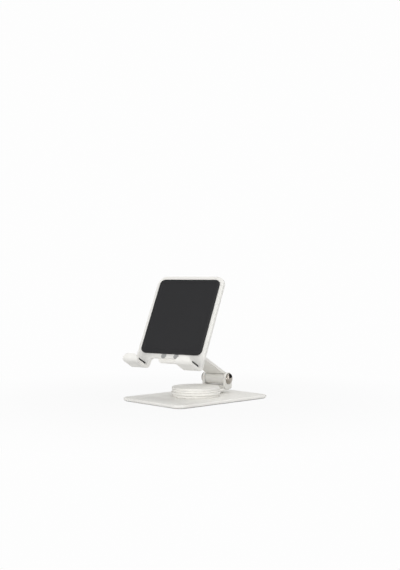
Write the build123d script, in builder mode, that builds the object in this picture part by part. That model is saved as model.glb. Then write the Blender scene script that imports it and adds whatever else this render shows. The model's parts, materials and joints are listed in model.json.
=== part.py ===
from build123d import *
import os
from math import cos, radians, sin

# A folding stand for a tablet, in millimetres. The origin is the middle of the underside, +Z is up
# and +Y points to the back along the base's long side. A base plate carries a turntable, the
# turntable carries a folding arm, and the arm carries a hooked cradle. Both hinges hold by friction.

# Pose in which the stand is drawn, in degrees
swivel_angle = 14.3
arm_rise_angle = 25.8
cradle_lean_angle = 27.3

# Base plate and its silicone foot
base_width = 74.0
base_depth = 104.0
base_thickness = 2.4
base_corner_radius = 8.0
base_edge_radius = 0.9
base_under_chamfer = 0.6
foot_thickness = 0.6
foot_inset = 1.6

# Turntable stack, from the fixed seat up to the cover
seat_radius = 19.8
seat_thickness = 1.95
yoke_radius = 20.9
cover_radius = 20.1
spacer_thickness = 2.0
cover_thickness = 2.0
disc_edge_radius = 0.7
disc_under_chamfer = 0.5

# Bent sheet of the yoke and of the cradle's bracket
sheet_thickness = 2.0
bend_radius = 1.0
relief_width = 1.0
yoke_neck_radius = 2.0

# Swivel bolt and what it clamps
bolt_shoulder_radius = 4.0
bolt_head_radius = 7.5
bolt_head_thickness = 1.4
bolt_thread_radius = 3.0
bolt_flat_offset = 2.5
bolt_end_length = 0.3
glide_width = 9.0
glide_thickness = 0.4
glide_depth = 0.35
washer_thickness = 0.4
washer_width = 5.5
spring_thickness = 0.4
spring_rise = 0.25
spring_width = 3.6
nut_across_flats = 10.0
nut_thickness = 1.5
cavity_gap = 0.6

# Screws, countersunk from below
seat_screw_radius = 1.5
seat_screw_head_radius = 2.7
seat_screw_count = 4
seat_screw_depth = 1.4
cover_screw_radius = 1.0
cover_screw_head_radius = 1.8
cover_screw_count = 3
cover_screw_depth = 1.2
screw_end_gap = 0.15
screw_edge_margin = 1.1

# Hinges, the same at both ends of the arm
pin_radius = 2.0
bush_wall = 0.5
arm_width = 18.4
arm_thickness = 2.4
arm_length = 65.8
arm_edge_chamfer = 0.4
rolled_seam = 0.4
hinge_washer_thickness = 0.45
ear_margin = 0.4
ear_flare = 0.6
ear_corner_radius = 3.0
yoke_barrel_gap = 3.0
bracket_barrel_gap = 0.7
yoke_disc_gap = 7.65
saddle_rise = 2.4
pin_head_radius = 4.7
pin_head_rim = 0.5
pin_head_height = 2.9
stud_radius = 1.2
stud_length = 7.0

# Cradle: a plate with two hooks, bent from one sheet
cradle_thickness = 2.2
hook_width = 14.5
hook_spacing = 51.1
hook_depth = 14.8
hook_drop = 19.8
hook_lip_height = 3.9
hook_back_bend = 3.9
hook_front_bend = 1.9
hook_tip_radius = 5.0
hook_gap_depth = 7.9
hook_gap_radius = 3.0
cradle_corner_radius = 8.0
fold_margin = 3.8
back_pad_thickness = 2.0
back_pad_margin = 3.5
hook_pad_thickness = 1.7
hook_pad_side_margin = 0.5
hook_pad_end_margin = 0.4

# Bracket on the cradle's back
bracket_length = 30.0
bracket_corner_radius = 3.0
rivet_radius = 1.5
rivet_head_radius = 2.4
rivet_spacing = 12.0
rivet_end_margin = 5.0

# Clearances
turning_gap = 0.05
running_gap = 0.04
press_gap = 0.02
hole_gap = 0.06
head_gap = 0.1
side_gap = 0.05

# Sizes that follow from the ones above
foot_top = foot_thickness
base_top = foot_top + base_thickness
seat_top = base_top + seat_thickness
glide_top = seat_top - glide_depth + glide_thickness
yoke_bottom = glide_top + turning_gap
yoke_top = yoke_bottom + sheet_thickness
spacer_top = yoke_top + spacer_thickness

bolt_head_top = foot_top + head_gap + bolt_head_thickness
washer_bottom = yoke_top + turning_gap
washer_top = washer_bottom + washer_thickness
spring_top = washer_top + spring_thickness + spring_rise
nut_top = spring_top + nut_thickness
bolt_top = nut_top + bolt_end_length
cavity_top = bolt_top + cavity_gap
thread_bore = bolt_thread_radius + hole_gap
washer_radius = thread_bore + washer_width
cavity_radius = washer_radius + cavity_gap

seat_screw_circle = seat_radius - screw_edge_margin - seat_screw_radius
cover_screw_circle = cover_radius - screw_edge_margin - cover_screw_head_radius
glide_outside = seat_screw_circle - seat_screw_radius - screw_edge_margin
glide_inside = glide_outside - glide_width

bush_bore = pin_radius + running_gap
bush_outside = bush_bore + bush_wall
barrel_bore = bush_outside + press_gap
barrel_radius = barrel_bore + arm_thickness
ear_radius = barrel_radius + ear_margin
ear_inside = arm_width / 2 + side_gap + hinge_washer_thickness
ear_outside = ear_inside + sheet_thickness
bend_middle = bend_radius + sheet_thickness / 2

hinge_washer_radius = barrel_radius + bracket_barrel_gap - bend_radius

hinge_setback = yoke_radius + yoke_disc_gap + ear_radius
yoke_drop = barrel_radius + yoke_barrel_gap + sheet_thickness
bracket_drop = barrel_radius + bracket_barrel_gap + sheet_thickness
hinge_height = yoke_bottom + yoke_drop

cradle_back = bracket_drop
cradle_front = cradle_back + cradle_thickness
cradle_top = arm_length - fold_margin
cradle_width = hook_spacing + hook_width
hook_floor = -hook_drop
hook_underside = hook_floor - cradle_thickness
hook_lip_top = hook_floor + hook_lip_height
lip_inside = cradle_front + hook_depth
gap_top = hook_floor + hook_gap_depth

rivet_rise = bracket_length - 2 * rivet_end_margin

# Directions. The head turns about Z, and its pins run along head_right.
head = Plane.XY.rotated((0, 0, swivel_angle))
head_right = head.x_dir
head_back = head.y_dir
head_up = head.z_dir
arm_direction = head_up * sin(radians(arm_rise_angle)) - head_back * cos(radians(arm_rise_angle))
cradle_up = head_up * cos(radians(cradle_lean_angle)) + head_back * sin(radians(cradle_lean_angle))

# Hinge planes: each one's z runs along the pin, and its y points away from the sheet with the ears
lower_origin = head_back * hinge_setback + head_up * hinge_height
lower_hinge = Plane(origin=lower_origin, x_dir=head_back, z_dir=head_right)
upper_origin = lower_origin + arm_direction * arm_length
upper_hinge = Plane(origin=upper_origin, x_dir=cradle_up * -1, z_dir=head_right)

# Work planes of the arm and the cradle: both start at a hinge's middle
arm_side = Plane(origin=lower_origin, x_dir=arm_direction, z_dir=head_right * -1)
cradle_face = Plane(origin=upper_origin, x_dir=head_right, z_dir=head_right.cross(cradle_up))
cradle_side = Plane(origin=upper_origin, x_dir=cradle_face.z_dir, z_dir=head_right * -1)

os.makedirs("parts", exist_ok=True)


def save(builder, name):
    """Label a finished piece and write it to its own file."""
    builder.part.label = name
    export_step(builder.part, f"parts/{name}.step")


def across(hinge):
    """Plane through a hinge's middle with x along the pin and y away from the sheet."""
    return Plane(origin=hinge.origin, x_dir=hinge.z_dir, z_dir=hinge.x_dir * -1)


def ear_pair(hinge, drop, flare, free_corner_radius):
    """Channel of bent sheet with two round-topped ears, bored for the hinge pin."""
    middle = ear_outside - sheet_thickness / 2
    web_middle = sheet_thickness / 2 - drop
    with BuildPart() as ears:
        with BuildSketch(across(hinge)):
            with BuildLine():
                FilletPolyline(
                    (-middle, ear_radius),
                    (-middle, web_middle),
                    (middle, web_middle),
                    (middle, ear_radius),
                    radius=bend_middle,
                )
            trace(line_width=sheet_thickness)
        extrude(amount=ear_radius + flare, both=True)
        with BuildSketch(hinge) as outline:
            Circle(ear_radius)
            with Locations((0, -drop)):
                Rectangle(2 * ear_radius, drop, align=(Align.CENTER, Align.MIN))
            if flare > 0:
                with Locations((0, -drop)):
                    Rectangle(ear_radius + flare, drop / 2, align=(Align.MIN, Align.MIN))
                make_hull()
            if free_corner_radius > 0:
                free_corner = outline.vertices().sort_by(Axis((0, 0, 0), (1, -1, 0)))[-1]
                fillet(free_corner, radius=free_corner_radius)
        extrude(amount=ear_outside, both=True, mode=Mode.INTERSECT)
        with BuildSketch(hinge):
            Circle(pin_radius + hole_gap)
        extrude(amount=ear_outside, both=True, mode=Mode.SUBTRACT)
    return ears.part


# Base plate, counterbored and countersunk from below
with BuildPart() as base_plate:
    with BuildSketch(Plane.XY.offset(foot_top)):
        RectangleRounded(base_width, base_depth, base_corner_radius)
    extrude(amount=base_thickness)
    fillet(base_plate.edges().group_by(Axis.Z)[-1], radius=base_edge_radius)
    chamfer(base_plate.edges().group_by(Axis.Z)[0], length=base_under_chamfer)
    with Locations(Plane(origin=(0, 0, foot_top), z_dir=(0, 0, -1))):
        CounterBoreHole(
            radius=bolt_shoulder_radius + hole_gap,
            counter_bore_radius=bolt_head_radius + hole_gap,
            counter_bore_depth=bolt_head_top - foot_top,
        )
        with PolarLocations(seat_screw_circle, seat_screw_count, start_angle=45):
            CounterSinkHole(
                radius=seat_screw_radius + hole_gap,
                counter_sink_radius=seat_screw_head_radius + hole_gap,
                counter_sink_angle=90,
            )
save(base_plate, "base_plate")

with BuildPart() as foot_pad:
    with BuildSketch():
        RectangleRounded(
            base_width - 2 * foot_inset,
            base_depth - 2 * foot_inset,
            base_corner_radius - foot_inset,
        )
    extrude(amount=foot_thickness)
save(foot_pad, "foot_pad")

# Fixed seat, with a recess for the glide ring and blind holes for its screws
with BuildPart() as swivel_seat:
    with BuildSketch(Plane.XY.offset(base_top)):
        Circle(seat_radius)
    extrude(amount=seat_thickness)
    fillet(swivel_seat.edges().group_by(Axis.Z)[-1], radius=disc_edge_radius)
    chamfer(swivel_seat.edges().group_by(Axis.Z)[0], length=disc_under_chamfer)
    with BuildSketch(Plane.XY.offset(seat_top)):
        Circle(glide_outside + hole_gap)
        Circle(glide_inside - hole_gap, mode=Mode.SUBTRACT)
    extrude(amount=-glide_depth, mode=Mode.SUBTRACT)
    with BuildSketch(Plane.XY.offset(base_top)):
        Circle(bolt_shoulder_radius + hole_gap)
    extrude(amount=seat_thickness, mode=Mode.SUBTRACT)
    with BuildSketch(Plane.XY.offset(base_top)):
        with PolarLocations(seat_screw_circle, seat_screw_count, start_angle=45):
            Circle(seat_screw_radius + hole_gap)
    extrude(amount=seat_screw_depth + screw_end_gap, mode=Mode.SUBTRACT)
save(swivel_seat, "swivel_seat")

with BuildPart() as seat_screws:
    with PolarLocations(seat_screw_circle, seat_screw_count, start_angle=45):
        with Locations((0, 0, foot_top + head_gap)):
            Cone(
                seat_screw_head_radius - head_gap,
                seat_screw_radius,
                seat_screw_head_radius - head_gap - seat_screw_radius,
                align=(Align.CENTER, Align.CENTER, Align.MIN),
            )
            Cylinder(
                seat_screw_radius,
                base_top + seat_screw_depth - foot_top - head_gap,
                align=(Align.CENTER, Align.CENTER, Align.MIN),
            )
save(seat_screws, "seat_screws")

with BuildPart() as glide_ring:
    with BuildSketch(Plane.XY.offset(seat_top - glide_depth)):
        Circle(glide_outside)
        Circle(glide_inside, mode=Mode.SUBTRACT)
    extrude(amount=glide_thickness)
save(glide_ring, "glide_ring")

# Shouldered bolt: the yoke turns on the shoulder, and the flats above it hold the washers still
with BuildPart() as swivel_bolt:
    with BuildSketch(Plane.XY.offset(foot_top + head_gap)):
        Circle(bolt_head_radius)
    extrude(amount=bolt_head_thickness)
    with BuildSketch(Plane.XY.offset(bolt_head_top)):
        Circle(bolt_shoulder_radius)
    extrude(amount=washer_bottom - bolt_head_top)
    with BuildSketch(Plane.XY.offset(washer_bottom)):
        Circle(bolt_thread_radius)
        Rectangle(2 * bolt_flat_offset, 2 * bolt_thread_radius, mode=Mode.INTERSECT)
    extrude(amount=bolt_top - washer_bottom)
save(swivel_bolt, "swivel_bolt")

with BuildPart() as thrust_washer:
    with BuildSketch(Plane.XY.offset(washer_bottom)):
        Circle(washer_radius)
        with BuildSketch(mode=Mode.PRIVATE) as keyed_bore:
            Circle(thread_bore)
            Rectangle(2 * (bolt_flat_offset + hole_gap), 2 * thread_bore, mode=Mode.INTERSECT)
        add(keyed_bore.sketch, mode=Mode.SUBTRACT)
    extrude(amount=washer_thickness)
save(thrust_washer, "thrust_washer")

# Conical spring: its outer rim bears on the washer and its inner rim on the nut
with BuildPart() as disc_spring:
    with BuildSketch(Plane.XZ):
        with BuildLine():
            Polyline(
                (thread_bore, washer_top + spring_rise),
                (thread_bore + spring_width, washer_top),
                (thread_bore + spring_width, washer_top + spring_thickness),
                (thread_bore, spring_top),
                close=True,
            )
        make_face()
    revolve(axis=Axis.Z)
save(disc_spring, "disc_spring")

with BuildPart() as swivel_nut:
    with BuildSketch(Plane.XY.offset(spring_top)):
        RegularPolygon(nut_across_flats / 2, 6, major_radius=False)
        Circle(thread_bore, mode=Mode.SUBTRACT)
    extrude(amount=nut_thickness)
save(swivel_nut, "swivel_nut")

# Yoke: disc and tongue with two ears at the tongue's end, and a saddle that fills the gap between
# the ears up to just below the arm's barrel
with BuildPart() as hinge_yoke:
    tongue_length = hinge_setback - ear_radius - relief_width
    with BuildSketch(head.offset(yoke_bottom)) as yoke_blank:
        Circle(yoke_radius)
        with Locations((0, tongue_length)):
            Rectangle(2 * ear_outside, tongue_length, align=(Align.CENTER, Align.MAX))
        neck_corners = yoke_blank.vertices().group_by(Axis.Y)[-2]
        fillet(neck_corners, radius=yoke_neck_radius)
        with Locations((0, tongue_length)):
            Rectangle(
                2 * (ear_inside - bend_radius),
                relief_width,
                align=(Align.CENTER, Align.MIN),
            )
    extrude(amount=sheet_thickness)
    long_sides = hinge_yoke.edges().filter_by(Axis(head.origin, head_back)).sort_by(SortBy.LENGTH)[-4:]
    rim_edges = hinge_yoke.edges().filter_by(GeomType.CIRCLE) + long_sides
    fillet(rim_edges.group_by(Axis.Z)[-1], radius=disc_edge_radius)
    chamfer(rim_edges.group_by(Axis.Z)[0], length=disc_under_chamfer)
    add(ear_pair(lower_hinge, yoke_drop, ear_flare, ear_corner_radius))
    web_end = ear_radius + ear_flare - ear_corner_radius
    with BuildSketch(lower_hinge):
        with Locations((web_end, -yoke_drop)):
            Rectangle(ear_corner_radius, sheet_thickness, align=(Align.MIN, Align.MIN))
    extrude(amount=ear_inside - bend_radius, both=True, mode=Mode.SUBTRACT)
    with BuildSketch(head.offset(yoke_top)):
        with Locations((0, hinge_setback - ear_radius)):
            Rectangle(2 * ear_inside, ear_radius + web_end, align=(Align.CENTER, Align.MIN))
    extrude(amount=saddle_rise)
    with BuildSketch(head.offset(yoke_bottom)):
        Circle(bolt_shoulder_radius + running_gap)
    extrude(amount=sheet_thickness, mode=Mode.SUBTRACT)
    with Locations(Plane(origin=(0, 0, yoke_bottom), x_dir=head_right, z_dir=(0, 0, -1))):
        with PolarLocations(cover_screw_circle, cover_screw_count, start_angle=90):
            CounterSinkHole(
                radius=cover_screw_radius + hole_gap,
                counter_sink_radius=cover_screw_head_radius + hole_gap,
                depth=sheet_thickness,
                counter_sink_angle=90,
            )
save(hinge_yoke, "hinge_yoke")

with BuildPart() as turntable_spacer:
    with BuildSketch(head.offset(yoke_top)):
        Circle(cover_radius)
    extrude(amount=spacer_thickness)
    fillet(turntable_spacer.edges().group_by(Axis.Z)[-1], radius=disc_edge_radius)
    chamfer(turntable_spacer.edges().group_by(Axis.Z)[0], length=disc_under_chamfer)
    with BuildSketch(head.offset(yoke_top)):
        Circle(cavity_radius)
        with PolarLocations(cover_screw_circle, cover_screw_count, start_angle=-90):
            Circle(cover_screw_radius + hole_gap)
    extrude(amount=spacer_thickness, mode=Mode.SUBTRACT)
save(turntable_spacer, "turntable_spacer")

# Cover, hollowed from below over the bolt's end
with BuildPart() as turntable_cover:
    with BuildSketch(head.offset(spacer_top)):
        Circle(cover_radius)
    extrude(amount=cover_thickness)
    fillet(turntable_cover.edges().group_by(Axis.Z)[-1], radius=disc_edge_radius)
    chamfer(turntable_cover.edges().group_by(Axis.Z)[0], length=disc_under_chamfer)
    with BuildSketch(head.offset(spacer_top)):
        Circle(cavity_radius)
    extrude(amount=cavity_top - spacer_top, mode=Mode.SUBTRACT)
    with BuildSketch(head.offset(spacer_top)):
        with PolarLocations(cover_screw_circle, cover_screw_count, start_angle=-90):
            Circle(cover_screw_radius + hole_gap)
    extrude(amount=cover_screw_depth + screw_end_gap, mode=Mode.SUBTRACT)
save(turntable_cover, "turntable_cover")

with BuildPart() as cover_screws:
    with Locations(head.offset(yoke_bottom + head_gap)):
        with PolarLocations(cover_screw_circle, cover_screw_count, start_angle=-90):
            Cone(
                cover_screw_head_radius - head_gap,
                cover_screw_radius,
                cover_screw_head_radius - head_gap - cover_screw_radius,
                align=(Align.CENTER, Align.CENTER, Align.MIN),
            )
            Cylinder(
                cover_screw_radius,
                spacer_top + cover_screw_depth - yoke_bottom - head_gap,
                align=(Align.CENTER, Align.CENTER, Align.MIN),
            )
save(cover_screws, "cover_screws")

# Arm: a flat plate with each end rolled into a barrel on its underside
with BuildPart() as arm:
    with BuildSketch(arm_side):
        for axis_place in (0, arm_length):
            inward = 1 if axis_place == 0 else -1
            with Locations((axis_place, 0)):
                Circle(barrel_radius)
            with Locations((axis_place + inward * barrel_radius / 2, barrel_bore - rolled_seam / 2)):
                Rectangle(barrel_radius, rolled_seam, mode=Mode.SUBTRACT)
        with Locations((arm_length / 2, barrel_bore)):
            Rectangle(arm_length, arm_thickness, align=(Align.CENTER, Align.MIN))
        with Locations((0, 0), (arm_length, 0)):
            Circle(barrel_bore, mode=Mode.SUBTRACT)
    extrude(amount=arm_width / 2, both=True)
    long_edges = arm.edges().filter_by(Axis(lower_origin, arm_direction))
    top_edges = long_edges.sort_by(Axis(lower_origin, arm_side.y_dir))[-2:]
    chamfer(top_edges, length=arm_edge_chamfer)
save(arm, "arm")

# The same hinge hardware at both ends of the arm
for place, hinge in (("lower", lower_hinge), ("upper", upper_hinge)):
    pin_line = Axis(hinge.origin, hinge.z_dir)
    dome_height = pin_head_height - pin_head_rim
    dome_radius = (pin_head_radius**2 + dome_height**2) / (2 * dome_height)
    head_face = ear_outside
    rim_face = head_face + pin_head_rim
    dome_top = head_face + pin_head_height

    with BuildPart() as hinge_pin:
        with BuildSketch(across(hinge)):
            with BuildLine():
                Polyline(
                    (dome_top, 0),
                    (stud_length - ear_outside, 0),
                    (stud_length - ear_outside, stud_radius + press_gap),
                    (-ear_outside, stud_radius + press_gap),
                    (-ear_outside, pin_radius),
                    (head_face, pin_radius),
                    (head_face, pin_head_radius),
                    (rim_face, pin_head_radius),
                )
                RadiusArc((rim_face, pin_head_radius), (dome_top, 0), dome_radius)
            make_face()
        revolve(axis=pin_line)
    save(hinge_pin, f"{place}_hinge_pin")

    with BuildPart() as hinge_cap:
        with BuildSketch(across(hinge)):
            with BuildLine():
                Polyline(
                    (-rim_face, pin_head_radius),
                    (-head_face, pin_head_radius),
                    (-head_face, stud_radius),
                    (stud_length - ear_outside - hole_gap, stud_radius),
                    (stud_length - ear_outside - hole_gap, 0),
                    (-dome_top, 0),
                )
                RadiusArc((-dome_top, 0), (-rim_face, pin_head_radius), dome_radius)
            make_face()
        revolve(axis=pin_line)
    save(hinge_cap, f"{place}_hinge_cap")

    with BuildPart() as hinge_washers:
        for side in (-1, 1):
            with BuildSketch(hinge.offset(side * ear_inside)):
                Circle(hinge_washer_radius)
                Circle(bush_bore, mode=Mode.SUBTRACT)
            extrude(amount=-side * hinge_washer_thickness)
    save(hinge_washers, f"{place}_hinge_washers")

    with BuildPart() as hinge_bush:
        with BuildSketch(hinge):
            Circle(bush_outside)
            Circle(bush_bore, mode=Mode.SUBTRACT)
        extrude(amount=arm_width / 2, both=True)
    save(hinge_bush, f"{place}_hinge_bush")

# Cradle plate: a flat back with a leg down to each hook, and the hooks bent forward
leg_bottom = hook_underside + hook_back_bend + cradle_thickness / 2
with BuildPart() as cradle_plate:
    with BuildSketch(cradle_face.offset(cradle_back)) as cradle_blank:
        with Locations((0, cradle_top)):
            Rectangle(cradle_width, cradle_top - leg_bottom, align=(Align.CENTER, Align.MAX))
        with Locations((0, gap_top)):
            Rectangle(
                cradle_width - 2 * hook_width,
                gap_top - leg_bottom,
                align=(Align.CENTER, Align.MAX),
                mode=Mode.SUBTRACT,
            )
        fillet(cradle_blank.vertices().group_by(Axis.Y)[-1], radius=cradle_corner_radius)
        fillet(cradle_blank.vertices().group_by(Axis.Y)[1], radius=hook_gap_radius)
    extrude(amount=cradle_thickness)
    for side in (-1, 1):
        with BuildSketch(cradle_side.offset(side * hook_spacing / 2)):
            with BuildLine():
                FilletPolyline(
                    (cradle_back + cradle_thickness / 2, hook_lip_top),
                    (cradle_back + cradle_thickness / 2, hook_floor - cradle_thickness / 2),
                    (lip_inside + cradle_thickness / 2, hook_floor - cradle_thickness / 2),
                    (lip_inside + cradle_thickness / 2, hook_lip_top),
                    radius=(hook_back_bend, hook_front_bend),
                )
            trace(line_width=cradle_thickness)
        extrude(amount=hook_width / 2, both=True)
    lip_height = hook_lip_top - hook_underside
    with BuildSketch(cradle_face.offset(lip_inside)):
        with GridLocations(hook_spacing, 0, 2, 1):
            with Locations((0, hook_lip_top)):
                Rectangle(hook_width, lip_height, align=(Align.CENTER, Align.MAX))
                RectangleRounded(
                    hook_width,
                    2 * lip_height,
                    hook_tip_radius,
                    align=(Align.CENTER, Align.MAX),
                    mode=Mode.SUBTRACT,
                )
    extrude(amount=cradle_thickness, mode=Mode.SUBTRACT)
    with Locations(cradle_face.offset(cradle_front)):
        with GridLocations(rivet_spacing, rivet_rise, 2, 2):
            CounterSinkHole(
                radius=rivet_radius + hole_gap,
                counter_sink_radius=rivet_head_radius + hole_gap,
                depth=cradle_thickness,
                counter_sink_angle=90,
            )
save(cradle_plate, "cradle_plate")

# Bracket: ears on a flat foot that is riveted to the cradle's back
with BuildPart() as cradle_bracket:
    add(ear_pair(upper_hinge, bracket_drop, 0, 0))
    with BuildSketch(cradle_face.offset(cradle_back)):
        Rectangle(2 * (ear_inside - bend_radius), 2 * (ear_radius + relief_width))
        for side in (-1, 1):
            with Locations((0, side * (ear_radius + relief_width))):
                edge_align = Align.MIN if side > 0 else Align.MAX
                Rectangle(
                    2 * ear_outside,
                    bracket_length / 2 - ear_radius - relief_width,
                    align=(Align.CENTER, edge_align),
                )
    extrude(amount=-sheet_thickness)
    foot_corners = cradle_bracket.edges().filter_by(Axis(upper_origin, cradle_face.z_dir))
    rows = foot_corners.group_by(Axis(upper_origin, cradle_up))
    fillet(rows[0] + rows[-1], radius=bracket_corner_radius)
    with Locations(Plane(origin=upper_origin + cradle_face.z_dir * (cradle_back - sheet_thickness),
                         x_dir=head_right, z_dir=cradle_face.z_dir * -1)):
        with GridLocations(rivet_spacing, rivet_rise, 2, 2):
            CounterSinkHole(
                radius=rivet_radius + hole_gap,
                counter_sink_radius=rivet_head_radius + hole_gap,
                depth=sheet_thickness,
                counter_sink_angle=90,
            )
save(cradle_bracket, "cradle_bracket")

# Rivets, flush at both ends: one cone fills the bracket's countersink and one the plate's
rivet_grip = sheet_thickness + cradle_thickness
rivet_cone = rivet_head_radius - rivet_radius
with BuildPart() as bracket_rivets:
    with Locations(cradle_face.offset(cradle_back - sheet_thickness)):
        with GridLocations(rivet_spacing, rivet_rise, 2, 2):
            Cylinder(rivet_radius, rivet_grip, align=(Align.CENTER, Align.CENTER, Align.MIN))
            Cone(
                rivet_head_radius,
                rivet_radius,
                rivet_cone,
                align=(Align.CENTER, Align.CENTER, Align.MIN),
            )
            with Locations((0, 0, rivet_grip)):
                Cone(
                    rivet_radius,
                    rivet_head_radius,
                    rivet_cone,
                    align=(Align.CENTER, Align.CENTER, Align.MAX),
                )
save(bracket_rivets, "bracket_rivets")

# Silicone pads that the tablet touches
pad_bottom = gap_top + back_pad_margin
pad_top = cradle_top - back_pad_margin
with BuildPart() as back_pad:
    with BuildSketch(cradle_face.offset(cradle_front)):
        with Locations((0, (pad_bottom + pad_top) / 2)):
            RectangleRounded(
                cradle_width - 2 * back_pad_margin,
                pad_top - pad_bottom,
                cradle_corner_radius - back_pad_margin,
            )
    extrude(amount=back_pad_thickness)
save(back_pad, "back_pad")

hook_pad_back = cradle_front + hook_back_bend - cradle_thickness / 2 + hook_pad_end_margin
hook_pad_front = lip_inside - (hook_front_bend - cradle_thickness / 2) - hook_pad_end_margin
for name, side in (("left_hook_pad", -1), ("right_hook_pad", 1)):
    with BuildPart() as hook_pad:
        with BuildSketch(cradle_side.offset(-side * hook_spacing / 2)):
            with Locations((hook_pad_back, hook_floor)):
                Rectangle(
                    hook_pad_front - hook_pad_back,
                    hook_pad_thickness,
                    align=(Align.MIN, Align.MIN),
                )
        extrude(amount=hook_width / 2 - hook_pad_side_margin, both=True)
    save(hook_pad, name)
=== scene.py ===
# %% [markdown]
# This notebook dresses a folding tablet stand. The stand's construction comes from a imported CAD
# model, which stays where it is and moves only by its joints. Here it gets its real surfaces: soft
# powder-coated edges, polished pin heads and silicone pads. The model is loaded first, because
# most of the sizes and places below are read from it.

# %% Load the frame
import bmesh
import bpy
import json
from math import cos, hypot, pi, radians, sin, sqrt
from mathutils import Matrix, Vector


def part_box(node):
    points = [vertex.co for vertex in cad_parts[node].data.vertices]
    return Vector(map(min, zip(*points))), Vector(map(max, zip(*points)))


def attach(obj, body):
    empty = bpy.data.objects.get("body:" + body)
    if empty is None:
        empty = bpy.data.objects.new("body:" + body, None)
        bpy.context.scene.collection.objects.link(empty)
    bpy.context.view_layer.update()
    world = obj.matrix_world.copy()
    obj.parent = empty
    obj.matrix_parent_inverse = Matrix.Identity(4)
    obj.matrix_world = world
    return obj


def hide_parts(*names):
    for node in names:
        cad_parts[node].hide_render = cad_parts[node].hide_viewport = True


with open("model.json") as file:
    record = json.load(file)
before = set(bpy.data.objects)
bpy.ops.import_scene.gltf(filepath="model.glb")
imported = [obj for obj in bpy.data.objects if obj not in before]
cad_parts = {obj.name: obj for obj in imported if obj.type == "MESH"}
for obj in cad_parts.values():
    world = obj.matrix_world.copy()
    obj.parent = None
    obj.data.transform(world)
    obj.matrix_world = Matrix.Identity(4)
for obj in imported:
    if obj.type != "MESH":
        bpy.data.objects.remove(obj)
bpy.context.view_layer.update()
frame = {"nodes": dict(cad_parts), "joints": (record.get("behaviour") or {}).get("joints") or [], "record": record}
nodes = frame["nodes"]


def in_millimetres(lengths):
    """Lengths in metres as rounded millimetres, to print."""
    return [round(1000 * length, 1) for length in lengths]


# %% [markdown]
# Everything is in metres, so a length in millimetres is written with MM behind it. The joints give
# the directions of the turned head: both hinge pins point the same way, against the axis of the
# tilt. Pieces are modelled lying flat at the origin, which is easy to think in, and then put in
# place by one of the matrices made here: one for each hinge, with Z along its pin, and one for the
# cradle, with Z out of its front.

# %% Units and places
MM = 0.001
joints = {joint["name"]: joint for joint in frame["joints"]}
mounts = {mount["name"]: mount for mount in frame["record"]["mounts"]}
pin_right = -Vector(joints["arm_tilt"]["axis"]).normalized()
head_back = Vector((-pin_right.y, pin_right.x, 0))
cradle_out = Vector(mounts["tablet_rest"]["axis"]).normalized()
cradle_up = cradle_out.cross(pin_right)


def placed(x_axis, y_axis, z_axis, origin):
    """Matrix that puts a piece modelled at the origin on three axes at a place."""
    turn = Matrix((x_axis, y_axis, z_axis)).transposed()
    return Matrix.Translation(origin) @ turn.to_4x4()


up = Vector((0, 0, 1))
lower_hinge = placed(head_back, up, pin_right, Vector(joints["arm_tilt"]["pos_m"]))
upper_hinge = placed(head_back, up, pin_right, Vector(joints["cradle_tilt"]["pos_m"]))
cradle = placed(pin_right, cradle_up, cradle_out, Vector(joints["cradle_tilt"]["pos_m"]))
print("pins point along", [round(value, 3) for value in pin_right])
print("cradle faces", [round(value, 3) for value in cradle_out])

# %% [markdown]
# The camera stands where the photograph was taken from: off the stand's front right corner and only
# ten centimetres above the table, so that the base is seen as a thin sliver. Its lens is a short
# telephoto, which keeps the base's edges nearly parallel. It looks a touch downwards, and well over
# the stand, which therefore sits low and to the left in the picture.

# %% Camera
camera_place = Vector((0.579, -0.537, 0.1043))
camera_heading = radians(46.9)
camera_pitch = radians(0.58)
lens_length = 59.32
camera_data = bpy.data.cameras.new("camera")
camera_data.lens = lens_length
camera_data.clip_start = 10 * MM
camera = bpy.data.objects.new("camera", camera_data)
bpy.context.scene.collection.objects.link(camera)
sight = Vector((
    -sin(camera_heading) * cos(camera_pitch),
    cos(camera_heading) * cos(camera_pitch),
    -sin(camera_pitch),
))
camera.location = camera_place
camera.rotation_euler = sight.to_track_quat("-Z", "Y").to_euler()
bpy.context.scene.camera = camera
bpy.context.scene.view_settings.view_transform = "Standard"
print("camera stands", round(camera_place.length, 3), "m from the stand's middle")

# %% [markdown]
# A material in Blender is a tree of nodes. Adding a node always takes the same three steps: make
# it, set its options, and give its inputs a value or a link. One small function does all three.
# Inputs go by their label, or by their number where several share a label: a Mix node's two colours
# are its inputs 6 and 7, and the mixed colour is its output 2. A second function turns a colour as
# it is seen on a screen into the linear light that a shader needs. The noise textures seldom leave
# the range from 0.3 to 0.7, so each material spreads that range over its span of roughness.

# %% Helpers for materials
colour_a = 6
colour_b = 7
mixed_colour = 2
noise_low = 0.3
noise_high = 0.7


def linear(hex_colour):
    """Linear red, green, blue and alpha of an sRGB colour such as F0EFEB."""
    channels = [int(hex_colour[start:start + 2], 16) / 255 for start in (0, 2, 4)]
    curve = [c / 12.92 if c <= 0.04045 else ((c + 0.055) / 1.055) ** 2.4 for c in channels]
    return (*curve, 1.0)


def add_node(tree, kind, inputs=None, **options):
    """Add a node, set its options, and fill its inputs with values or with links."""
    node = tree.nodes.new(kind)
    for name, value in options.items():
        setattr(node, name, value)
    for name, value in (inputs or {}).items():
        if isinstance(value, bpy.types.NodeSocket):
            tree.links.new(value, node.inputs[name])
        else:
            node.inputs[name].default_value = value
    return node


def new_material(name):
    """A fresh material with its tree and its one shader."""
    material = bpy.data.materials.new(name)
    material.use_nodes = True
    return material, material.node_tree, material.node_tree.nodes["Principled BSDF"]


def link_surface(tree, shader, tone, gloss, bump):
    """Let three nodes give the shader its colour, its roughness and its relief."""
    tree.links.new(tone.outputs[mixed_colour], shader.inputs["Base Color"])
    tree.links.new(gloss.outputs[0], shader.inputs["Roughness"])
    tree.links.new(bump.outputs[0], shader.inputs["Normal"])


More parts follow.
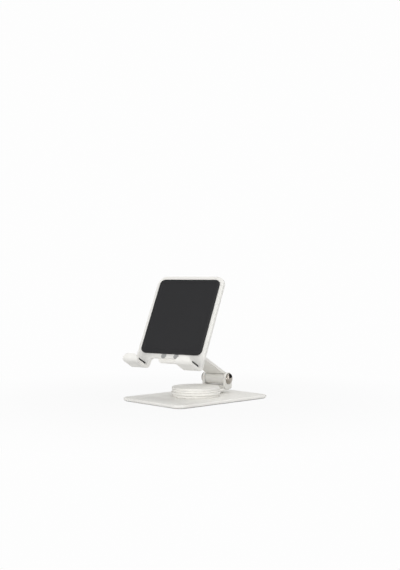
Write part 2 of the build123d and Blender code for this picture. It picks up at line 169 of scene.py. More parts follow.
white = linear("FFFFFF")
print("white is", white)

# %% [markdown]
# The studio is a white table that runs on into a white backdrop. The backdrop is the world's
# colour. Polished metal needs something dark to mirror in it, or it looks like white plastic. In a
# studio, black cloths called flags are hung up for that. Here they are dark patches of the world
# that only mirrors see: as the camera looks at the stand, behind it on the right, behind it on the
# left, and overhead. Each is a cone round its direction, with a soft edge, and its angles are in
# degrees. A mirror sees the darkest of the three.

# %% Flags
backdrop_white = 0.985
flag_dark = 0.03
flag_edge = radians(8)
flags = (
    {"heading": 80, "height": 5, "spread": 46},
    {"heading": 185, "height": 15, "spread": 32},
    {"heading": 0, "height": 90, "spread": 48},
)
world = bpy.data.worlds.new("white_studio")
bpy.context.scene.world = world
world.use_nodes = True
sky = world.node_tree
sky.nodes.clear()
direction = add_node(sky, "ShaderNodeTexCoord").outputs["Generated"]
mirror_view = backdrop_white
for flag in flags:
    heading = radians(flag["heading"])
    height = radians(flag["height"])
    spread = radians(flag["spread"])
    middle = (cos(heading) * cos(height), sin(heading) * cos(height), sin(height))
    toward_flag = add_node(sky, "ShaderNodeVectorMath", {
        0: direction, 1: middle,
    }, operation="DOT_PRODUCT")
    cloth = add_node(sky, "ShaderNodeMapRange", {
        "Value": toward_flag.outputs["Value"],
        "From Min": cos(spread + flag_edge), "From Max": cos(spread - flag_edge),
        "To Min": backdrop_white, "To Max": flag_dark,
    }, interpolation_type="SMOOTHSTEP")
    darkest = add_node(sky, "ShaderNodeMath", {0: cloth.outputs[0], 1: mirror_view}, operation="MINIMUM")
    mirror_view = darkest.outputs[0]
print("mirrors see", len(flags), "flags")

# %% [markdown]
# The backdrop is this white only for what the camera sees, and for mirrors. As a light source it is
# weaker, so that the soft lamps still give the stand a light side and a dark side. The Light Path
# node tells what a ray is for.

# %% World
ambient_strength = 0.40
path = add_node(sky, "ShaderNodeLightPath")
mirrored = add_node(sky, "ShaderNodeMath", {
    0: path.outputs["Is Glossy Ray"], 1: path.outputs["Is Transmission Ray"],
}, operation="MAXIMUM")
off_camera = add_node(sky, "ShaderNodeMix", {
    "Factor": mirrored.outputs[0], "A": ambient_strength, "B": mirror_view,
})
light = add_node(sky, "ShaderNodeMix", {
    "Factor": path.outputs["Is Camera Ray"], "A": off_camera.outputs[0], "B": backdrop_white,
})
backdrop = add_node(sky, "ShaderNodeBackground", {"Color": white, "Strength": light.outputs[0]})
add_node(sky, "ShaderNodeOutputWorld", {"Surface": backdrop.outputs[0]})
print("the backdrop is", backdrop_white, "to look at and gives", ambient_strength, "as light")

# %% [markdown]
# Three softboxes light the stand. The key light hangs low in front, so the upright faces, such as
# the hooks' lips and the rims of the discs, are the brightest. The one overhead keeps the flat tops
# from going grey. A tall, weak one to the right of the camera lifts the outer faces of the ears,
# and the pin's head mirrors it as a bright oval.

# %% Lamps
aim = Vector((0, 0, 40 * MM))


def soft_lamp(name, place, width, height, watts):
    """A softbox that faces the stand."""
    data = bpy.data.lights.new(name, "AREA")
    data.shape = "RECTANGLE"
    data.size = width
    data.size_y = height
    data.energy = watts
    lamp = bpy.data.objects.new(name, data)
    bpy.context.scene.collection.objects.link(lamp)
    lamp.location = place
    lamp.rotation_euler = (aim - Vector(place)).to_track_quat("-Z", "Y").to_euler()


soft_lamp("key_light", place=(0.30, -1.08, 0.35), width=0.8, height=0.8, watts=6.4)
soft_lamp("top_light", place=(0.2, 0.2, 1.2), width=1.0, height=1.0, watts=5.4)
soft_lamp("side_light", place=(0.85, 0.10, 0.50), width=0.25, height=1.1, watts=2.4)
print(len(bpy.data.lights), "softboxes hang round the stand")

# %% [markdown]
# The table is white laminate. A lit table is never quite as white as the backdrop, so a share of
# its colour is a plain glow that only the camera and mirrors see. The share grows to the whole
# with the distance from the stand: the far table melts into the backdrop, and the near table keeps
# the stand's soft shadow.

# %% Floor
table_width = 12.0
near_glow = 0.92
glow_starts = 60 * MM
glow_is_whole = 260 * MM
bpy.ops.object.select_all(action="DESELECT")
bpy.ops.mesh.primitive_plane_add(size=table_width, location=(0, 0, 0))
floor = bpy.context.active_object
floor.name = "floor"
laminate, tree, shader = new_material("white_laminate_table")
shader.inputs["Base Color"].default_value = linear("D8D8D8")
shader.inputs["Roughness"].default_value = 0.7
path = add_node(tree, "ShaderNodeLightPath")
spot = add_node(tree, "ShaderNodeTexCoord").outputs["Object"]
distance = add_node(tree, "ShaderNodeVectorMath", {0: spot}, operation="LENGTH")
far_share = add_node(tree, "ShaderNodeMapRange", {
    "Value": distance.outputs["Value"],
    "From Min": glow_starts, "From Max": glow_is_whole, "To Min": near_glow, "To Max": 1.0,
}, interpolation_type="SMOOTHSTEP")
seen = path.outputs["Is Camera Ray"]
for ray in ("Is Glossy Ray", "Is Transmission Ray"):
    either = add_node(tree, "ShaderNodeMath", {0: seen, 1: path.outputs[ray]}, operation="MAXIMUM")
    seen = either.outputs[0]
share = add_node(tree, "ShaderNodeMath", {0: seen, 1: far_share.outputs[0]}, operation="MULTIPLY")
glow = add_node(tree, "ShaderNodeEmission", {"Color": white, "Strength": backdrop_white})
table_top = add_node(tree, "ShaderNodeMixShader", {
    0: share.outputs[0], 1: shader.outputs[0], 2: glow.outputs[0],
})
tree.links.new(table_top.outputs[0], tree.nodes["Material Output"].inputs["Surface"])
floor.data.materials.append(laminate)
print("floor is", round(floor.dimensions.x, 1), "m wide")

# %% [markdown]
# Nearly all of the stand is sheet steel with a powder coat: dry paint powder that is sprayed on and
# melted in an oven. It comes out matt and warm white, and it never lies quite flat: it keeps a
# fine waviness called orange peel, over a finer grain. Both are a bump map from noise, and both are
# drawn about twice as coarse as the real ones, 2.4 mm and 0.7 mm, because anything finer than the
# picture's own pixels only turns to speckle. The gloss and the tone wander a little too, because
# the coat isn't the same thickness all over, and that keeps the large flat faces from looking like
# plastic. Here and below, a pattern's scale is one over its size in metres.

# %% Powder coat
def powder_coat():
    """Matt warm-white powder coat: satin highlights broken up by orange peel."""
    cloud_size = 16 * MM
    peel_size = 2.4 * MM
    grain_size = 0.7 * MM
    grain_share = 0.12
    material, tree, shader = new_material("powder_coated_steel")
    place = add_node(tree, "ShaderNodeTexCoord").outputs["Object"]
    cloud = add_node(tree, "ShaderNodeTexNoise", {
        "Vector": place, "Scale": 1 / cloud_size, "Detail": 3.0,
    })
    peel = add_node(tree, "ShaderNodeTexNoise", {
        "Vector": place, "Scale": 1 / peel_size, "Detail": 1.0,
    })
    grain = add_node(tree, "ShaderNodeTexNoise", {
        "Vector": place, "Scale": 1 / grain_size, "Detail": 1.0,
    })
    tone = add_node(tree, "ShaderNodeMix", {
        "Factor": cloud.outputs["Fac"], colour_a: linear("F2F1ED"), colour_b: linear("EDEBE6"),
    }, data_type="RGBA")
    gloss = add_node(tree, "ShaderNodeMapRange", {
        "Value": cloud.outputs["Fac"],
        "From Min": noise_low, "From Max": noise_high, "To Min": 0.50, "To Max": 0.60,
    })
    relief = add_node(tree, "ShaderNodeMath", {
        0: grain.outputs["Fac"], 1: grain_share, 2: peel.outputs["Fac"],
    }, operation="MULTIPLY_ADD")
    bump = add_node(tree, "ShaderNodeBump", {
        "Height": relief.outputs[0], "Strength": 0.35, "Distance": 0.02 * MM,
    })
    link_surface(tree, shader, tone, gloss, bump)
    return material


coat = powder_coat()
print("made", coat.name)

# %% [markdown]
# The pin heads are nickel-plated steel, turned on a lathe and polished, so they mirror the studio
# sharply. The lathe leaves faint rings round the pin's axis. A wave texture makes rings round Z, so
# a Mapping node first brings the hinge to the origin and lays its pin along Z. The texture's rings
# are a sine of twenty times the distance times its scale, so the scale that gives one ring per
# spacing is 2 pi over twenty spacings.

# %% Polished steel
wave_factor = 20


def polished_steel(name, hinge):
    """Mirror-bright turned steel with faint rings round one hinge's pin."""
    ring_spacing = 0.35 * MM
    smear_size = 1.5 * MM
    material, tree, shader = new_material(name)
    shader.inputs["Base Color"].default_value = linear("A8A29A")
    shader.inputs["Metallic"].default_value = 1.0
    place = add_node(tree, "ShaderNodeTexCoord").outputs["Object"]
    on_pin = add_node(tree, "ShaderNodeMapping", {
        "Vector": place, "Location": hinge.translation, "Rotation": hinge.to_euler(),
    }, vector_type="TEXTURE")
    rings = add_node(tree, "ShaderNodeTexWave", {
        "Vector": on_pin.outputs[0], "Scale": 2 * pi / wave_factor / ring_spacing, "Distortion": 0.6,
    }, wave_type="RINGS", rings_direction="Z")
    smear = add_node(tree, "ShaderNodeTexNoise", {
        "Vector": place, "Scale": 1 / smear_size, "Detail": 3.0,
    })
    gloss = add_node(tree, "ShaderNodeMapRange", {
        "Value": smear.outputs["Fac"],
        "From Min": noise_low, "From Max": noise_high, "To Min": 0.04, "To Max": 0.09,
    })
    bump = add_node(tree, "ShaderNodeBump", {
        "Height": rings.outputs["Fac"], "Strength": 0.15, "Distance": 0.006 * MM,
    })
    tree.links.new(gloss.outputs[0], shader.inputs["Roughness"])
    tree.links.new(bump.outputs[0], shader.inputs["Normal"])
    return material


lower_pin_steel = polished_steel("turned_polished_steel_lower", lower_hinge)
upper_pin_steel = polished_steel("turned_polished_steel_upper", upper_hinge)
print("made", lower_pin_steel.name, "and", upper_pin_steel.name)

# %% [markdown]
# The bolt, the screws, the nut and the washers are zinc-plated steel. The plating is a cool, dull
# grey with a cloudy shine, because the zinc grows in patches, and handling leaves it finely marked.
# The rivets are the same steel.

# %% Zinc-plated steel
def zinc_plate():
    """Dull grey plating with a cloudy shine."""
    patch_size = 2.5 * MM
    mark_size = 0.4 * MM
    material, tree, shader = new_material("zinc_plated_steel")
    shader.inputs["Metallic"].default_value = 1.0
    place = add_node(tree, "ShaderNodeTexCoord").outputs["Object"]
    patches = add_node(tree, "ShaderNodeTexNoise", {
        "Vector": place, "Scale": 1 / patch_size, "Detail": 4.0,
    })
    marks = add_node(tree, "ShaderNodeTexNoise", {
        "Vector": place, "Scale": 1 / mark_size, "Detail": 2.0,
    })
    tone = add_node(tree, "ShaderNodeMix", {
        "Factor": patches.outputs["Fac"], colour_a: linear("C6C6C4"), colour_b: linear("ADADAC"),
    }, data_type="RGBA")
    gloss = add_node(tree, "ShaderNodeMapRange", {
        "Value": patches.outputs["Fac"],
        "From Min": noise_low, "From Max": noise_high, "To Min": 0.28, "To Max": 0.46,
    })
    bump = add_node(tree, "ShaderNodeBump", {
        "Height": marks.outputs["Fac"], "Strength": 0.4, "Distance": 0.02 * MM,
    })
    link_surface(tree, shader, tone, gloss, bump)
    return material


zinc = zinc_plate()
print("made", zinc.name)

# %% [markdown]
# All the soft parts are silicone, pressed in a mould whose walls were etched, so they come out
# matt and evenly grainy, and dust makes their tone a little uneven. The pads in the cradle are
# black, and the sheet under the base is light grey. Silicone also scatters light just under its
# skin, which shows on the pale sheet and not on the black pads.

# %% Silicone
def silicone(name, dark, pale, scatter):
    """Matt moulded silicone: a soft, grainy skin without a clear highlight."""
    dust_size = 9 * MM
    grain_size = 0.5 * MM
    material, tree, shader = new_material(name)
    shader.inputs["Subsurface Weight"].default_value = scatter
    shader.inputs["Subsurface Scale"].default_value = 0.6 * MM
    shader.inputs["IOR"].default_value = 1.41
    place = add_node(tree, "ShaderNodeTexCoord").outputs["Object"]
    dust = add_node(tree, "ShaderNodeTexNoise", {
        "Vector": place, "Scale": 1 / dust_size, "Detail": 4.0,
    })
    grain = add_node(tree, "ShaderNodeTexNoise", {
        "Vector": place, "Scale": 1 / grain_size, "Detail": 2.0,
    })
    tone = add_node(tree, "ShaderNodeMix", {
        "Factor": dust.outputs["Fac"], colour_a: linear(dark), colour_b: linear(pale),
    }, data_type="RGBA")
    gloss = add_node(tree, "ShaderNodeMapRange", {
        "Value": dust.outputs["Fac"],
        "From Min": noise_low, "From Max": noise_high, "To Min": 0.58, "To Max": 0.68,
    })
    bump = add_node(tree, "ShaderNodeBump", {
        "Height": grain.outputs["Fac"], "Strength": 0.5, "Distance": 0.03 * MM,
    })
    link_surface(tree, shader, tone, gloss, bump)
    return material


black_silicone = silicone("moulded_black_silicone", dark="19191B", pale="212123", scatter=0.0)
grey_silicone = silicone("moulded_grey_silicone", dark="C0C0BD", pale="C8C8C5", scatter=0.2)
print("made", black_silicone.name, "and", grey_silicone.name)

# %% [markdown]
# The bushes, the friction washers and the glide ring are acetal, a slippery plastic. It is left in
# its natural milky white, and it was cut from bar, so it has fine turning marks. Only their edges
# show, as thin pale lines beside the barrels.

# %% Acetal
def acetal():
    """Milky, slightly see-through plastic with a soft shine."""
    mark_size = 0.6 * MM
    material, tree, shader = new_material("natural_acetal")
    shader.inputs["Subsurface Weight"].default_value = 0.3
    shader.inputs["Subsurface Scale"].default_value = 0.8 * MM
    shader.inputs["IOR"].default_value = 1.48
    place = add_node(tree, "ShaderNodeTexCoord").outputs["Object"]
    marks = add_node(tree, "ShaderNodeTexNoise", {
        "Vector": place, "Scale": 1 / mark_size, "Detail": 3.0,
    })
    tone = add_node(tree, "ShaderNodeMix", {
        "Factor": marks.outputs["Fac"], colour_a: linear("EAE8E1"), colour_b: linear("E1DFD7"),
    }, data_type="RGBA")
    gloss = add_node(tree, "ShaderNodeMapRange", {
        "Value": marks.outputs["Fac"],
        "From Min": noise_low, "From Max": noise_high, "To Min": 0.36, "To Max": 0.46,
    })
    bump = add_node(tree, "ShaderNodeBump", {
        "Height": marks.outputs["Fac"], "Strength": 0.3, "Distance": 0.02 * MM,
    })
    link_surface(tree, shader, tone, gloss, bump)
    return material


milky_acetal = acetal()
print("made", milky_acetal.name)

# %% [markdown]
# Every part of the construction already names the finish it has, in its first material. All of them
# trade that plain stand-in for the real finish here. Most parts need no more, because their CAD
# shape is right as it is: the base plate and the discs were drawn with their rounded rims.

# %% Finishes for the CAD parts
finishes = {
    "powder_coat": coat,
    "polished_steel": lower_pin_steel,
    "plated_steel": zinc,
    "pad_silicone": black_silicone,
    "foot_silicone": grey_silicone,
    "acetal": milky_acetal,
}
for node in nodes.values():
    finish = node.material_slots[0].material.name.split(".")[0]
    node.material_slots[0].material = finishes[finish]
print(len(nodes), "parts have their finish")

# %% [markdown]
# From here on, pieces are modelled. Blender's tools act on whatever is selected, so three helpers
# come first. One lets go of everything and takes one piece in hand. The other two select the faces
# or the edges of a piece that pass a test, such as pointing up, and leave the rest unselected. Such
# a test leaves a little room, because no corner lies exactly where it should.

# %% Helpers that select
near = 0.01 * MM
straight = 0.99


def take_up(piece):
    """Let go of everything, and take one piece in hand."""
    bpy.ops.object.select_all(action="DESELECT")
    piece.select_set(True)
    bpy.context.view_layer.objects.active = piece


def pick_faces(piece, wanted):
    """In edit mode, select the faces that pass a test."""
    bpy.ops.mesh.select_mode(type="FACE")
    bpy.ops.mesh.select_all(action="DESELECT")
    shape = bmesh.from_edit_mesh(piece.data)
    for face in shape.faces:
        if wanted(face):
            face.select_set(True)
    bmesh.update_edit_mesh(piece.data)


def pick_edges(piece, wanted):
    """In edit mode, select the edges whose two ends pass a test."""
    bpy.ops.mesh.select_mode(type="EDGE")
    bpy.ops.mesh.select_all(action="DESELECT")
    shape = bmesh.from_edit_mesh(piece.data)
    for edge in shape.edges:
        if wanted(edge.verts[0].co, edge.verts[1].co):
            edge.select_set(True)
    bmesh.update_edit_mesh(piece.data)


print("corners count as level within", round(near / MM, 3), "mm")

# %% [markdown]
# One more helper ends every piece. It puts it in its place, gives it its material, hangs it on the
# body it rides on and hides the CAD part it stands for. It also shades it smooth, except over its
# creases, and weights each corner's shading by the size of the faces round it. Without that, a large
# flat face takes on the slant of the narrow bevels round it, and looks dented.

# %% The last step of every piece
crease_degrees = 32


def hand_over(piece, name, place, material, body, stands_for):
    """Put a finished piece in place, give it its material, and let it ride for its CAD part."""
    piece.name = name
    piece.data.name = name
    piece.data.transform(place)
    piece.data.materials.clear()
    piece.data.materials.append(material)
    take_up(piece)
    bpy.ops.object.shade_smooth_by_angle(angle=radians(crease_degrees))
    even = piece.modifiers.new("even_shading", "WEIGHTED_NORMAL")
    even.keep_sharp = True
    bpy.ops.object.modifier_apply(modifier=even.name)
    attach(piece, body)
    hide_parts(stands_for)
    print(name, "is", in_millimetres(piece.dimensions), "mm, with", len(piece.data.polygons), "faces")


print("edges of over", crease_degrees, "degrees are shaded as creases")

# %% [markdown]
# The yoke, the arm, the cradle plate and its bracket are cut from sheet and bent. Tumbling the cut
# blanks and coating them leaves every edge round, by about a third of a millimetre, and those thin
# bright edges are much of what makes the stand look like painted metal. The CAD solids have sharp
# edges. A merged copy of each gets a bevel on its sharp edges only: the angle limit leaves the
# facets of the bends and barrels alone. The flat faces are dissolved first, so that the bevel
# doesn't stumble over the triangles that a CAD mesh is made of.

# %% Softened sheet metal
tumbled_edge = 0.3 * MM
tumbled_steps = 3
weld_distance = 0.001 * MM
flat_within = radians(0.4)
sharp_above = radians(40)


def soften(name, body):
    """A copy of a CAD part with its sharp edges rounded, as tumbling and paint leave them."""
    piece = bpy.data.objects.new(name, nodes[name].data.copy())
    bpy.context.scene.collection.objects.link(piece)
    take_up(piece)
    bpy.ops.object.mode_set(mode="EDIT")
    bpy.ops.mesh.select_all(action="SELECT")
    bpy.ops.mesh.remove_doubles(threshold=weld_distance)
    bpy.ops.mesh.dissolve_limited(angle_limit=flat_within)
    bpy.ops.object.mode_set(mode="OBJECT")
    bevel = piece.modifiers.new("tumbled_edges", "BEVEL")
    bevel.width = tumbled_edge
    bevel.segments = tumbled_steps
    bevel.limit_method = "ANGLE"
    bevel.angle_limit = sharp_above
    bpy.ops.object.modifier_apply(modifier=bevel.name)
    hand_over(piece, f"{name}_coated", Matrix.Identity(4), coat,
              body=body, stands_for=name)


soften("hinge_yoke", "turntable")
soften("arm", "folding_arm")
soften("cradle_plate", "cradle")
soften("cradle_bracket", "cradle")

# %% [markdown]
# The pads are slabs of silicone with round corners and soft rims. Each starts as a cube at its
# size. Its four upright edges are bevelled to the corner radius, and then the rim of its upper face
# is bevelled to the small radius that a mould gives. The larger pads also have a raised border: one
# inset of the upper face makes the border, and a second one, which sinks as it narrows, makes the
# step down to the field inside it.

# %% A soft slab
corner_steps = 10
rim_steps = 5


def slab(low, high, corner, rim):
    """A slab with round corners and a soft upper rim, between two opposite corner points."""
    bpy.ops.object.select_all(action="DESELECT")
    bpy.ops.mesh.primitive_cube_add(size=1.0, location=(low + high) / 2, scale=high - low)
    piece = bpy.context.active_object
    bpy.ops.object.transform_apply(location=True, rotation=True, scale=True)
    bpy.ops.object.mode_set(mode="EDIT")
    pick_edges(piece, lambda a, b: abs(a.z - b.z) > near)
    bpy.ops.mesh.bevel(offset=corner, segments=corner_steps, affect="EDGES", clamp_overlap=True)
    pick_edges(piece, lambda a, b: min(a.z, b.z) > high.z - near)
    bpy.ops.mesh.bevel(offset=rim, segments=rim_steps, affect="EDGES", clamp_overlap=True)
    bpy.ops.object.mode_set(mode="OBJECT")
    return piece


def sink_field(piece, top, border, step, depth):
    """Leave a border round the upper face of a slab, and sink the field inside it."""
    bpy.ops.object.mode_set(mode="EDIT")
    pick_faces(piece, lambda face: face.normal.z > straight and face.calc_center_median().z > top - near)
    bpy.ops.mesh.inset(thickness=border, depth=0)
    bpy.ops.mesh.inset(thickness=step, depth=-depth)
    bpy.ops.object.mode_set(mode="OBJECT")


print("a slab has", corner_steps, "steps round a corner and", rim_steps, "over its rim")

# %% [markdown]
# The sizes and places of the pads and of the hinge's pins are measured on their CAD parts. Each is
# measured along its own hinge or cradle, and not along the room, because all of them stand aslant.

# %% Helpers that measure
def corners(name, place):
    """Every corner point of a CAD part, as seen from one of the hinges or the cradle."""
    to_place = place.inverted()
    return [to_place @ vertex.co for vertex in nodes[name].data.vertices]


def extent(name, place):
    """Lowest and highest corner of a CAD part, as seen from one of the hinges or the cradle."""
    points = corners(name, place)
    low = Vector([min(point[axis] for point in points) for axis in range(3)])
    high = Vector([max(point[axis] for point in points) for axis in range(3)])
    return low, high


low, high = extent("back_pad", cradle)
print("the back pad measures", in_millimetres(high - low), "mm along the cradle")

# %% [markdown]
# The back pad is what a device leans on. Its field is sunk by a third of a millimetre, so that the
# device touches the border first and is gripped by it.

# %% Back pad
back_pad = slab(low, high, corner=4.5 * MM, rim=0.7 * MM)
sink_field(back_pad, high.z, border=2.0 * MM, step=0.3 * MM, depth=0.35 * MM)
hand_over(back_pad, "back_pad_silicone", cradle, black_silicone,
          body="cradle", stands_for="back_pad")

# %% [markdown]
# The pads on the hook floors carry a device's weight. They have ribs across the hook, so that even
# a dusty one doesn't slide. The ribs come from cutting a slab across at their edges and pushing
# down the strips between them. Both pads are the same, so one is modelled, lying down round the
# origin. Each hook gets a copy of it, turned so that its top looks up the cradle.

# %% Hook pads
rib_count = 4
groove_width = 0.7 * MM
groove_depth = 0.3 * MM
groove_wall = 0.1 * MM
on_hook = placed(Vector((1, 0, 0)), Vector((0, 0, -1)), Vector((0, 1, 0)), Vector((0, 0, 0)))


def ribbed_pad(half_size):
    """A pad lying round the origin. Its ribs run the same way as the hinge pins."""
    pad = slab(-half_size, half_size, corner=1.0 * MM, rim=0.35 * MM)
    pitch = 2 * half_size.y / rib_count
    grooves = [pitch * step - half_size.y for step in range(1, rib_count)]
    bpy.ops.object.mode_set(mode="EDIT")
    for middle in grooves:
        for side in (-1, 1):
            bpy.ops.mesh.select_all(action="SELECT")
            bpy.ops.mesh.bisect(plane_co=(0, middle + side * groove_width / 2, 0), plane_no=(0, 1, 0))
    pick_faces(pad, lambda face: face.normal.z > straight and any(
        abs(face.calc_center_median().y - middle) < groove_width / 4 for middle in grooves))
    bpy.ops.mesh.inset(thickness=groove_wall, depth=-groove_depth, use_individual=True)
    bpy.ops.object.mode_set(mode="OBJECT")
    return pad


def copy_of(model):
    """A copy of a modelled piece, with a mesh of its own."""
    copy = bpy.data.objects.new(model.name, model.data.copy())
    bpy.context.scene.collection.objects.link(copy)
    return copy


low, high = extent("left_hook_pad", cradle)
half = (high - low) / 2
hook_pad = ribbed_pad(Vector((half.x, half.z, half.y)))
for name in ("left_hook_pad", "right_hook_pad"):
    low, high = extent(name, cradle)
    middle = Matrix.Translation((low + high) / 2)
    hand_over(copy_of(hook_pad), f"{name}_silicone", cradle @ middle @ on_hook, black_silicone,
              body="cradle", stands_for=name)
bpy.data.objects.remove(hook_pad)

# %% [markdown]
# A sheet of silicone under the base keeps it from sliding and from scratching the table. Only its
# edge shows, as a thin grey line below the plate. It is the same slab, turned over, so that its
# soft rim and its border are what touches the table.

# %% Foot
flipped = Matrix.Rotation(pi, 4, "X")
low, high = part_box("foot_pad")
flipped_low = Vector((low.x, low.y, -high.z))
flipped_high = Vector((high.x, high.y, -low.z))
foot = slab(flipped_low, flipped_high, corner=6.4 * MM, rim=0.2 * MM)
sink_field(foot, flipped_high.z, border=3.0 * MM, step=0.2 * MM, depth=0.15 * MM)
hand_over(foot, "foot_pad_silicone", flipped, grey_silicone,
          body="base", stands_for="foot_pad")

# %% [markdown]
# Each hinge turns on a pin with a large domed head, and a cap with the same head is screwed into
# its other end. The heads are the only bright metal on the stand. Both are turned parts, so each
# starts as a cylinder, the shank. Its end face is pulled out into the head step by step: widened,
# raised to the rim, and then raised and narrowed along a quarter of an ellipse, like the dome of
# an upholstery nail. A last small face is merged to the dome's tip.

# %% Turned parts
dome_steps = 12
round_steps = 72
head_edge = 0.15 * MM


def widest(points):
    """Largest distance of a list of points from the Z axis."""
    return max(hypot(point.x, point.y) for point in points)


def grow_end(radius, height, old_radius, old_height):
    """Pull the selected end face out to a new radius and height."""
    bpy.ops.mesh.extrude_region_move(TRANSFORM_OT_translate={"value": (0, 0, height - old_height)})
    factor = radius / old_radius
    bpy.ops.transform.resize(value=(factor, factor, 1), center_override=(0, 0, height))


def turned(shank_radius, shank_low, shank_high, head_radius, rim_height, dome_height):
    """A shank along Z with a domed head on its upper end."""
    bpy.ops.object.select_all(action="DESELECT")
    bpy.ops.mesh.primitive_cylinder_add(
        vertices=round_steps, radius=shank_radius, depth=shank_high - shank_low,
        location=(0, 0, (shank_low + shank_high) / 2),
    )
    piece = bpy.context.active_object
    bpy.ops.object.transform_apply(location=True, rotation=True, scale=True)
    bpy.ops.object.mode_set(mode="EDIT")
    pick_faces(piece, lambda face: face.normal.z > straight)
    rim_top = shank_high + rim_height
    profile = [
        (head_radius - head_edge, shank_high),
        (head_radius, shank_high + head_edge),
        (head_radius, rim_top),
    ]
    for step in range(1, dome_steps):
        angle = pi / 2 * step / dome_steps
        profile.append((head_radius * cos(angle), rim_top + (dome_height - rim_height) * sin(angle)))
    radius, height = shank_radius, shank_high
    for new_radius, new_height in profile:
        grow_end(new_radius, new_height, radius, height)
        radius, height = new_radius, new_height
    tip_radius = radius / 4
    grow_end(tip_radius, shank_high + dome_height, radius, height)
    bpy.ops.mesh.merge(type="CENTER")
    bpy.ops.object.mode_set(mode="OBJECT")
    return piece


print("heads have", round_steps, "steps round and", dome_steps, "up")

# %% [markdown]
# The cap's head has a hexagon socket, because something has to turn it when the hinge's friction is
# set. A six-sided cylinder is cut out of the dome with a Boolean.

# %% Hexagon socket
socket_across_flats = 2.5 * MM
socket_depth = 1.5 * MM


def cut_socket(piece, dome_top):
    """Cut a hexagon socket into the top of a dome."""
    bpy.ops.object.select_all(action="DESELECT")
    bpy.ops.mesh.primitive_cylinder_add(
        vertices=6, radius=socket_across_flats / sqrt(3), depth=2 * socket_depth,
        location=(0, 0, dome_top),
    )
    cutter = bpy.context.active_object
    take_up(piece)
    socket = piece.modifiers.new("socket", "BOOLEAN")
    socket.operation = "DIFFERENCE"
    socket.solver = "EXACT"
    socket.object = cutter
    bpy.ops.object.modifier_apply(modifier=socket.name)
    bpy.data.objects.remove(cutter)


print("the socket fits a key of", *in_millimetres([socket_across_flats]), "mm")

# %% [markdown]
# The sizes of a pin and a cap are measured on the lower hinge's CAD parts. The rim of a head ends
# where the pin is no longer at its widest, and the shanks are measured a millimetre away from the
# heads, so that nothing of a head is taken in.

# %% Sizes of a pin and a cap
rim_share = 0.99
clear_of_head = 1 * MM
pin_points = corners("lower_hinge_pin", lower_hinge)
cap_points = corners("lower_hinge_cap", lower_hinge)
ear_face = -min(point.z for point in pin_points)
dome_height = max(point.z for point in pin_points) - ear_face
head_radius = widest(pin_points)
rim = [point.z for point in pin_points if hypot(point.x, point.y) > rim_share * head_radius]
rim_height = max(rim) - ear_face
pin_radius = widest([point for point in pin_points if point.z < ear_face - clear_of_head])
stud_radius = widest([point for point in cap_points if point.z > clear_of_head - ear_face])
stud_end = max(point.z for point in cap_points)
print("head radius, rim and dome", in_millimetres([head_radius, rim_height, dome_height]), "mm")
print("pin and stud radius", in_millimetres([pin_radius, stud_radius]), "mm")

# %% [markdown]
# Both hinges have the same hardware, so one pin and one cap are modelled, and each hinge gets a
# copy of them. On both hinges the cap is on the left, so the camera sees the plain heads of the
# pins.

# %% Pins and caps
pin = turned(pin_radius, -ear_face, ear_face, head_radius, rim_height, dome_height)
cap = turned(stud_radius, -stud_end, ear_face, head_radius, rim_height, dome_height)
cut_socket(cap, ear_face + dome_height)
turn_round = Matrix.Rotation(pi, 4, "Y")
for end, hinge, steel, body in (
    ("lower", lower_hinge, lower_pin_steel, "turntable"),
    ("upper", upper_hinge, upper_pin_steel, "cradle"),
):
    hand_over(copy_of(pin), f"{end}_hinge_pin_polished", hinge, steel,
              body=body, stands_for=f"{end}_hinge_pin")
    hand_over(copy_of(cap), f"{end}_hinge_cap_polished", hinge @ turn_round, steel,
              body=body, stands_for=f"{end}_hinge_cap")
bpy.data.objects.remove(pin)
bpy.data.objects.remove(cap)

# %% [markdown]
# Four rivets hold the bracket to the cradle plate. They are a single CAD part, so their places and
# sizes come from its corners: those of one rivet are picked out, at the lower left as seen from the
# front, and its middle is mirrored to the three others.

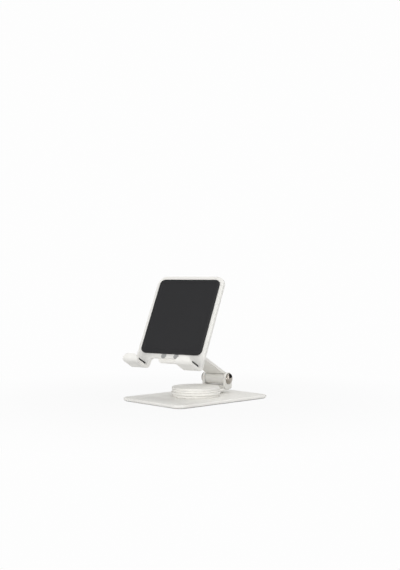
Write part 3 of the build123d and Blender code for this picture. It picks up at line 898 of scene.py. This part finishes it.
# %% Sizes and places of the rivets
low, high = extent("bracket_rivets", cradle)
middle = (low + high) / 2
first_rivet = [
    point - middle for point in corners("bracket_rivets", cradle)
    if point.x < middle.x and point.y < middle.y
]
left = min(point.x for point in first_rivet)
right = max(point.x for point in first_rivet)
bottom = min(point.y for point in first_rivet)
top = max(point.y for point in first_rivet)
first_centre = Vector(((left + right) / 2, (bottom + top) / 2, 0))
mirrorings = ((1, 1), (-1, 1), (1, -1), (-1, -1))
rivet_head_radius = (right - left) / 2
half_grip = (high.z - low.z) / 2
print("rivet head radius and half length", in_millimetres([rivet_head_radius, half_grip]), "mm")

# %% [markdown]
# The rivets were pressed into countersunk holes until they filled them, so both ends are nearly
# flush, with a shallow crown and a tiny ring where the tool pressed. A rivet starts as a cylinder
# whose ends are widened into cones. Three insets on each end then make a slope, the ring and the
# crown. One rivet is modelled and then copied to the four places.

# %% Rivets
rivet_steps = 40
rivet_shank_radius = 1.5 * MM
cone_height = rivet_head_radius - rivet_shank_radius
crown = 0.12 * MM
pressed_rings = (
    {"width": 0.35 * MM, "rise": 0.4 * crown},
    {"width": 0.15 * MM, "rise": -0.3 * crown},
    {"width": 0.7 * MM, "rise": 0.6 * crown},
)


def flush_rivet():
    """A flush rivet along Z, centred on the origin, with both its heads."""
    bpy.ops.object.select_all(action="DESELECT")
    bpy.ops.mesh.primitive_cylinder_add(
        vertices=rivet_steps, radius=rivet_shank_radius, depth=2 * (half_grip - cone_height),
        location=(0, 0, 0),
    )
    piece = bpy.context.active_object
    factor = rivet_head_radius / rivet_shank_radius
    bpy.ops.object.mode_set(mode="EDIT")
    for side in (-1, 1):
        pick_faces(piece, lambda face: side * face.normal.z > straight)
        bpy.ops.mesh.extrude_region_move(TRANSFORM_OT_translate={"value": (0, 0, side * cone_height)})
        bpy.ops.transform.resize(value=(factor, factor, 1), center_override=(0, 0, side * half_grip))
        for ring in pressed_rings:
            bpy.ops.mesh.inset(thickness=ring["width"], depth=ring["rise"])
    bpy.ops.object.mode_set(mode="OBJECT")
    return piece


rivet = flush_rivet()
for count, (across, along) in enumerate(mirrorings, start=1):
    spot = Matrix.Translation(middle + Vector((across * first_centre.x, along * first_centre.y, 0)))
    hand_over(copy_of(rivet), f"bracket_rivet_{count}", cradle @ spot, zinc,
              body="cradle", stands_for="bracket_rivets")
bpy.data.objects.remove(rivet)
